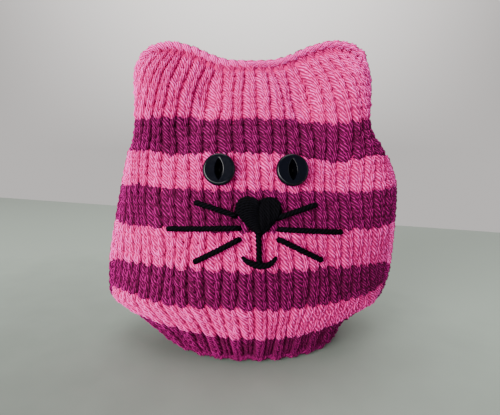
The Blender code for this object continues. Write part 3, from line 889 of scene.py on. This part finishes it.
def floor_material():
    """Plain pale matt surface with a soft painted shadow towards the front left."""
    material, graph, surface = new_material("pale_floor")
    place = graph.place()
    reach = graph.add("VectorMath", place, FLOOR_SHADOW_MIDDLE)
    reach.operation = "DISTANCE"
    grain = graph.noise(place, FLOOR_GRAIN)
    shadow_and_grain = graph.weigh(FLOOR_BASE, (reach.outputs["Value"], FLOOR_RISE), (grain, FLOOR_GRAIN_SHADE))
    graph.paint(surface, shadow_and_grain, (0.0, FLOOR_DARK), (0.80, FLOOR_PALE))
    surface.inputs["Roughness"].default_value = 0.7
    return material


# Each yarn: its colour in painted shade, its own colour, its colour in painted highlight, then its
# plies
PINK = yarn_material("pink_yarn_knit", (0.31, 0.008, 0.092), (0.90, 0.006, 0.265),
                     (1.0, 0.125, 0.60), YARN_PLIES)
MAGENTA = yarn_material("magenta_yarn_knit", (0.048, 0.0001, 0.018), (0.126, 0.0001, 0.045),
                        (0.39, 0.004, 0.186), YARN_PLIES)
BLACK = yarn_material("black_yarn_stitch", (0.0002, 0.0002, 0.0004), (0.0011, 0.0009, 0.0018),
                      (0.0032, 0.0027, 0.0054), STITCH_PLIES, sheen=0.0, gloss=0.045)
PLASTIC = plastic_material("polished_black_plastic", (0.0012, 0.0015, 0.0037),
                           (0.0016, 0.0021, 0.0052), 0.10, 0.22)
# The hollow: a dull finish, and a colour darker than the face, which is painted shade in the recess
HOLLOW = plastic_material("dull_black_hollow", (0.0004, 0.0004, 0.0009),
                          (0.0006, 0.0006, 0.0013), 0.55, 0.0)
YARNS = {"pink": PINK, "magenta": MAGENTA}

# -------------------- face


# Buttons lean back on their foot, BUTTON_FOOT of the radius below the middle. A
# faintly dished face meets the round rim at RIM_START of the radius, and
# BUTTON_BACK gives the rest of the outline as shares of radius and thickness
PIECE_GAP = 0.00035
BUTTON_RADIUS = 0.0075
BUTTON_THICKNESS = 0.0036
BUTTON_LEAN = math.radians(9.0)
BUTTON_FOOT = 0.72
BUTTON_SIDES = 96
FACE_RINGS = 34
FACE_DISH = 0.035
RIM_START = 0.84
RIM_RINGS = 8
RIM_FALL = 0.42
BUTTON_CENTRE = 0.02
BUTTON_BACK = ((0.995, 0.40), (0.96, 0.22), (0.88, 0.08), (0.76, 0.0), (BUTTON_CENTRE, 0.0))
BUTTON_PLACES = (
    # node, column, row
    ("button_left", -2.68, 23.05),
    ("button_right", 2.68, 22.98),
)

# The pointed hollow in each button with its two holes; deeper than DULL_DEPTH it is dull and
# darker, the darker colour being painted shade
EYE_HALF_WIDTH = 0.0021
EYE_HALF_LENGTH = 0.0054
EYE_DEPTH = 0.0013
HOLE_RADIUS = 0.00085
HOLE_DEPTH = 0.0012
HOLE_EDGE = 0.0001
HOLE_HALF_SPACING = 0.0019
DULL_DEPTH = 0.00002

# Outline of the nose from its middle, in metres
NOSE_COLUMN = 0.14
NOSE_ROW = 18.40
NOSE_HALF_WIDTH = 0.0110
NOSE_LOBE_TOP = 0.0082
NOSE_NOTCH = 0.0056
NOSE_SHOULDER = 0.0024
NOSE_TIP = -0.0079
NOSE_LOBE = 0.55
NOSE_LOBE_POWER = 0.8
NOSE_TIP_POWER = 1.25

# The nose's pad and strands: a fan that ends along the left outline, over and
# under its side, upright ones on the right and one round the rim
PAD_LIFT = 0.0002
PAD_HEIGHT = 0.0013
PAD_SLOPE = 3.0
PAD_REACH = 0.88
PAD_INSET = 0.06
PAD_COLUMNS = 25
PAD_ROWS = 9
PAD_UV = (0.1, 0.3)
STRAND_RADIUS = 0.00095
STRAND_PLY_RELIEF = 0.10
STRAND_POINTS = 19
STRAND_ARCH = 0.0034
STRAND_POWER = 0.3
STRAND_FOOT = -0.0018
STRAND_JITTER = 0.0001
FAN_STRANDS = 17
FAN_BOW = 0.10
FAN_OVER = (-0.12, -1.0)
FAN_UNDER = (-0.95, -0.10)
FAN_POINTS = 12
FAN_START = 0.4
FAN_POWER = 0.9
FAN_MIDDLE = 0.0003
FAN_TOP = NOSE_NOTCH - 0.0006
FAN_FALL = FAN_TOP - NOSE_TIP - 0.0010
UPRIGHT_STRANDS = 10
UPRIGHT_BOW = 0.03
UPRIGHT_START = 0.087
UPRIGHT_STEP = 0.09
UPRIGHT_TAPER = 0.80
RIM_RADIUS = 0.0010
RIM_INSET = 0.93
RIM_POINTS = 25
RIM_PLY_RELIEF = 0.06

WHISKERS = (
    # node, column and row of the outer end, column and row of the inner end
    ("whisker_left_top", -4.58, 19.72, -1.52, 18.46),
    ("whisker_left_middle", -6.57, 17.04, -1.30, 17.33),
    ("whisker_left_bottom", -4.26, 13.84, -1.28, 16.27),
    ("whisker_right_top", 4.37, 19.50, 1.56, 18.28),
    ("whisker_right_middle", 6.32, 16.73, 1.50, 17.18),
    ("whisker_right_bottom", 4.54, 13.95, 1.42, 16.20),
)
# Under the nose and across: column, row, thickness factor
MOUTH_LINE = ((0.00, 16.72, 1.0), (-0.07, 13.76, 1.0))
MOUTH_SMILE = (
    (-1.14, 14.53, 0.55),
    (-0.96, 14.24, 0.80),
    (-0.72, 14.00, 1.00),
    (-0.36, 13.78, 1.10),
    (0.02, 13.65, 1.15),
    (0.38, 13.68, 1.10),
    (0.68, 13.86, 1.00),
    (0.95, 14.14, 0.80),
    (1.14, 14.51, 0.55),
)
MOUTH = (
    # node, places, points, lift in metres
    ("mouth_line", MOUTH_LINE, 24, -0.0001),
    ("mouth_smile", MOUTH_SMILE, STITCH_POINTS, 0.0003),
)


def curve_points(places, count):
    """Column, row and factor along a smooth line through a few places."""
    places = np.asarray(places, dtype=float)
    steps = run_along(places[:, :2])
    at = np.linspace(0.0, steps[-1], count)
    return np.stack([monotone(steps, places[:, n], at) for n in range(places.shape[1])], axis=-1)


def sewn_stitch(node, places, lifts, radius):
    """A stitch of black yarn over columns and rows of the front."""
    points = cloth_places(places[:, 0], places[:, 1], lifts, -1)
    tube = world_tube(points, radius, STITCH_PLIES, STITCH_PLY_RELIEF, STITCH_PITCH, 3)
    return join_tubes(node + "_yarn", [tube], BLACK), node


def build_whisker(node, *ends):
    """One straight stitch whose ends dive into the cloth."""
    places = curve_points([ends[:2], ends[2:]], STITCH_POINTS)
    dive = WHISKER_DIVE * np.abs(np.linspace(-1.0, 1.0, STITCH_POINTS)) ** WHISKER_POWER
    return sewn_stitch(node, places, STITCH_RADIUS + WHISKER_LIFT - dive, STITCH_RADIUS)


def build_mouth(node, table, count, lift):
    """The upright stitch under the nose, or the curved mouth with its thin ends."""
    places = curve_points(table, count)
    thick = STITCH_RADIUS * places[:, 2]
    return sewn_stitch(node, places, thick + lift, thick)


def heart_top(across):
    """Height of the nose's upper outline, across from -1 to 1."""
    reach = np.abs(across)
    rise = np.sin(0.5 * math.pi * np.minimum(reach / NOSE_LOBE, 1.0)) ** NOSE_LOBE_POWER
    inner = NOSE_NOTCH + (NOSE_LOBE_TOP - NOSE_NOTCH) * rise
    t = np.clip((reach - NOSE_LOBE) / (1.0 - NOSE_LOBE), 0.0, 1.0)
    outer = NOSE_SHOULDER + (NOSE_LOBE_TOP - NOSE_SHOULDER) * np.sqrt(1.0 - t * t)
    return np.where(reach < NOSE_LOBE, inner, outer)


def heart_bottom(across):
    """Height of the nose's lower outline, across from -1 to 1."""
    return NOSE_TIP + (NOSE_SHOULDER - NOSE_TIP) * np.abs(across) ** NOSE_TIP_POWER


def nose_places(xs, ys, lifts):
    """World points for places on the nose, measured in metres from its middle."""
    return cloth_places(NOSE_COLUMN + xs / COLUMN_WIDTH, NOSE_ROW + ys / ROW_HEIGHT, lifts, -1)


def nose_strand(start, end, bow):
    """A strand over the padding from one edge of the nose to the other, bowed sideways."""
    t = np.linspace(0.0, 1.0, STRAND_POINTS)
    line = start + (end - start) * t[:, None]
    sideways = np.array((end[1] - start[1], start[0] - end[0]))
    line = line + bow * sideways * (4.0 * t * (1.0 - t))[:, None]
    lift = STRAND_ARCH * np.sin(math.pi * t) ** STRAND_POWER + STRAND_FOOT
    points = nose_places(line[:, 0], line[:, 1], lift + STRAND_JITTER * rng.normal())
    return world_tube(points, STRAND_RADIUS, STITCH_PLIES, STRAND_PLY_RELIEF, STITCH_PITCH)


def nose_padding():
    """The low heart-shaped pad under the strands."""
    a, s = np.meshgrid(np.linspace(-PAD_REACH, PAD_REACH, PAD_COLUMNS),
                       np.linspace(PAD_INSET, 1.0 - PAD_INSET, PAD_ROWS))
    low = heart_bottom(a)
    ys = low + (heart_top(a) - low) * s
    edge = np.minimum(1.0 - np.abs(a), 1.0 - np.abs(2.0 * s - 1.0))
    lifts = PAD_LIFT + PAD_HEIGHT * np.sqrt(np.clip(PAD_SLOPE * edge, 0.0, 1.0))
    top = nose_places(a * NOSE_HALF_WIDTH, ys, lifts)
    bottom = nose_places(a * NOSE_HALF_WIDTH, ys, -PAD_LIFT)
    points, faces = thin_sheet(top, bottom)
    return points, faces, np.tile(PAD_UV, (4 * len(faces), 1))


def build_nose():
    """The heart: a fan of strands on its left half, upright strands on its right half."""
    tubes = [nose_padding()]
    over = np.linspace(*FAN_OVER, FAN_POINTS)
    under = np.linspace(*FAN_UNDER, FAN_POINTS)
    left = np.stack([NOSE_HALF_WIDTH * np.concatenate([over, under]),
                     np.concatenate([heart_top(over), heart_bottom(under)])], axis=-1)
    run = run_along(left)
    for share in (np.arange(FAN_STRANDS) + FAN_START) / FAN_STRANDS:
        end = along_line(left, run, share * run[-1])
        start = np.array((FAN_MIDDLE, FAN_TOP - FAN_FALL * share ** FAN_POWER))
        tubes.append(nose_strand(start, end, FAN_BOW))
    for top in UPRIGHT_START + UPRIGHT_STEP * np.arange(UPRIGHT_STRANDS):
        foot = UPRIGHT_TAPER * top
        tubes.append(nose_strand(np.array((foot * NOSE_HALF_WIDTH, heart_bottom(foot))),
                                 np.array((top * NOSE_HALF_WIDTH, heart_top(top))), UPRIGHT_BOW))
    half = np.linspace(0.0, 1.0, RIM_POINTS)
    below = np.linspace(-1.0, 1.0, 2 * RIM_POINTS - 1)[1:-1]
    across = np.concatenate([-half, below, half[::-1]])
    heights = np.concatenate([heart_top(half), heart_bottom(below), heart_top(half[::-1])])
    rim = nose_places(RIM_INSET * NOSE_HALF_WIDTH * across, RIM_INSET * heights, PAD_LIFT)
    tubes.append(world_tube(rim, RIM_RADIUS, STITCH_PLIES, RIM_PLY_RELIEF, STITCH_PITCH))
    return join_tubes("nose_strands", tubes, BLACK)


def button_height(x, y):
    """Depth of the button's pointed hollow and of its two holes below its face."""
    reach = np.clip(1.0 - (y / EYE_HALF_LENGTH) ** 2, 0.0, 1.0)
    half = np.maximum(EYE_HALF_WIDTH * reach, 1e-6)
    hollow = EYE_DEPTH * reach * np.clip(1.0 - np.abs(x) / half, 0.0, 1.0)
    holes = np.zeros_like(x)
    for direction in (-1.0, 1.0):
        away = np.hypot(x, y - direction * HOLE_HALF_SPACING)
        edge = (HOLE_RADIUS + HOLE_EDGE - away) / (2.0 * HOLE_EDGE)
        holes = np.maximum(holes, np.clip(edge, 0.0, 1.0))
    return hollow + HOLE_DEPTH * holes


def build_button(name, column, row):
    """A turned and polished button with a rounded rim, over the solid one's place."""
    lift = PIECE_GAP + BUTTON_FOOT * BUTTON_RADIUS * math.sin(BUTTON_LEAN)
    origin = cloth_places(column, row, lift, -1)
    out = unit(look_up(OUTWARD, column, row))
    across = unit(np.cross((0.0, 0.0, 1.0), out))
    up = np.cross(out, across)
    face = math.cos(BUTTON_LEAN) * out - math.sin(BUTTON_LEAN) * up
    up = math.cos(BUTTON_LEAN) * up + math.sin(BUTTON_LEAN) * out
    flat = [(r, 1.0 - FACE_DISH + FACE_DISH * (r / RIM_START) ** 2)
            for r in np.linspace(BUTTON_CENTRE, RIM_START, FACE_RINGS)]
    rim = [(RIM_START + (1.0 - RIM_START) * math.sin(a), 1.0 - RIM_FALL * (1.0 - math.cos(a)))
           for a in np.linspace(0.0, 0.5 * math.pi, RIM_RINGS + 1)[1:]]
    rings = np.array((*flat, *rim, *BUTTON_BACK))
    angle = math.tau * np.arange(BUTTON_SIDES) / BUTTON_SIDES
    x = BUTTON_RADIUS * rings[:, :1] * np.cos(angle)
    y = BUTTON_RADIUS * rings[:, :1] * np.sin(angle)
    dip = button_height(x, y)
    dip[FACE_RINGS:] = 0.0
    z = BUTTON_THICKNESS * rings[:, 1:] - dip
    points = origin + x[..., None] * across + y[..., None] * up + z[..., None] * face
    faces = tube_faces(1, len(rings), BUTTON_SIDES, np.zeros((1, len(rings))))[0]
    sunk = np.minimum(dip.ravel(), 2.0 * DULL_DEPTH)
    button = add_mesh(name, points.reshape(-1, 3), faces, None, PLASTIC)
    button.data.materials.append(HOLLOW)
    # Faces deep in the hollow get the dull material with its painted shade
    button.data.polygons.foreach_set("material_index",
                                     [int(sunk[face].mean() > DULL_DEPTH) for face in faces])
    return button


def dress_face():
    """All the stitched pieces of the face, each with the solid that it stands for."""
    return [*(build_whisker(*whisker) for whisker in WHISKERS),
            *(build_mouth(*part) for part in MOUTH), (build_nose(), "nose")]


# -------------------- putting it together


def finish_piece(piece, *nodes, slot):
    """Attaches a piece to the one body and hides the solids that it stands for; its finish, slot,
    is not used.
    """
    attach(piece, "root")
    if nodes:
        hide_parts(*nodes)


def dress_panels():
    """Both panels: the core sheets and the stitches on them."""
    for panel, side in (("front", -1), ("back", 1)):
        core = build_core(panel + "_core", side, (PINK, MAGENTA))
        finish_piece(core, panel + "_panel", slot="pink_yarn")
        for name, first, last, yarn in STRIPES:
            piece = knit_stripe(f"{panel}_{name}", first, last, side, YARNS[yarn])
            finish_piece(piece, slot=yarn + "_yarn")


dress_panels()
for piece, yarn in edge_pieces():
    finish_piece(piece, slot=yarn + "_yarn")
cast_on = join_tubes("cast_on_edge", [cast_on_edge(-1), cast_on_edge(1)], MAGENTA)
finish_piece(cast_on, slot="magenta_yarn")
for piece, node in dress_face():
    finish_piece(piece, node, slot="black_yarn")
for node, column, row in BUTTON_PLACES:
    finish_piece(build_button(node + "_polished", column, row), node, slot="button_plastic")
    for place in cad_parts[node + "_thread"].material_slots:
        place.material = BLACK

# -------------------- setting

# Corners of the floor, which ends behind the cosy along a slanting line
FLOOR_CORNERS = ((-3.5, -2.5, 0.0), (3.5, -2.5, 0.0), (3.5, -1.0, 0.0),
                 (2.4, -0.56, 0.0), (-2.6, 1.43, 0.0), (-3.5, 1.79, 0.0))
LIGHTS = (
    # name, place, target, size, power, colour
    ("key", (-0.76, -0.96, 0.39), (0.0, 0.0, 0.07), 0.80, 30.5, (1.0, 0.98, 0.96)),
    ("top", (-0.15, -0.10, 1.10), (0.0, 0.0, 0.05), 0.90, 8.2, (1.0, 0.99, 0.98)),
    ("low", (-0.25, -1.20, 0.14), (0.0, 0.0, 0.03), 0.60, 7.5, (1.0, 0.98, 0.97)),
    ("fill", (0.85, -0.60, 0.40), (0.0, 0.0, 0.07), 0.70, 1.6, (0.90, 0.95, 1.0)),
)

# The wall all round and its glow behind the cosy
WALL_COLOUR = (0.86, 0.82, 0.80, 1.0)
WALL_LEVEL = 0.74
FRONT_LEVEL = 0.25
TURN = 0.6
GLOW = 3.9
GLOW_TOP = 0.35
GLOW_FALL = -3.4

# The photo's camera
SENSOR_WIDTH = 36.0
FOCAL_LENGTH = 26.64
NEAREST = 0.01
EYE = (0.0011, -0.2021, 0.107)
EYE_TILT = math.radians(81.0)


def add_floor():
    """The plain floor that the cosy stands on."""
    mesh = bpy.data.meshes.new("floor")
    mesh.from_pydata(FLOOR_CORNERS, [], [range(len(FLOOR_CORNERS))])
    mesh.materials.append(floor_material())
    floor = link("floor", mesh)


def add_light(name, place, target, size, power, colour):
    """A soft round light aimed at a point."""
    light = bpy.data.lights.new(name, "AREA")
    light.shape = "DISK"
    light.size = size
    light.energy = power
    light.color = colour
    lamp = link(name, light)
    lamp.location = place
    lamp.rotation_euler = (Vector(target) - Vector(place)).to_track_quat("-Z", "Y").to_euler()


def add_world():
    """A pale wall all round, darker in front, with a soft glow behind the cosy."""
    world = bpy.data.worlds.new("studio")
    graph = Graph(world)
    towards = graph.split(graph.add("TexCoord").outputs["Generated"])
    spread = graph.add("MapRange", towards["Y"], -TURN, TURN, FRONT_LEVEL, WALL_LEVEL).outputs[0]
    up = graph.math("MINIMUM", graph.math("MAXIMUM", towards["Z"], 0.0), GLOW_TOP)
    aside = graph.math("MULTIPLY", towards["X"], towards["X"])
    middle = graph.math("MAXIMUM", graph.weigh(1.0, (aside, GLOW_FALL)), 0.0)
    behind = graph.math("MAXIMUM", towards["Y"], 0.0)
    glow = graph.math("MULTIPLY", graph.math("MULTIPLY", up, middle), behind)
    background = graph.nodes["Background"].inputs
    graph.feed(background["Color"], WALL_COLOUR)
    graph.feed(background["Strength"], graph.weigh(0.0, (glow, GLOW), (spread, 1.0)))
    bpy.context.scene.world = world


def add_camera():
    """The photo's view: close to the front, a little above its middle."""
    camera = bpy.data.cameras.new("camera")
    camera.sensor_width = SENSOR_WIDTH
    camera.lens = FOCAL_LENGTH
    camera.clip_start = NEAREST
    eye = link("camera", camera)
    eye.location = EYE
    eye.rotation_euler = (EYE_TILT, 0.0, 0.0)
    bpy.context.scene.camera = eye


add_floor()
for light in LIGHTS:
    add_light(*light)
add_world()
add_camera()

bpy.context.view_layer.update()
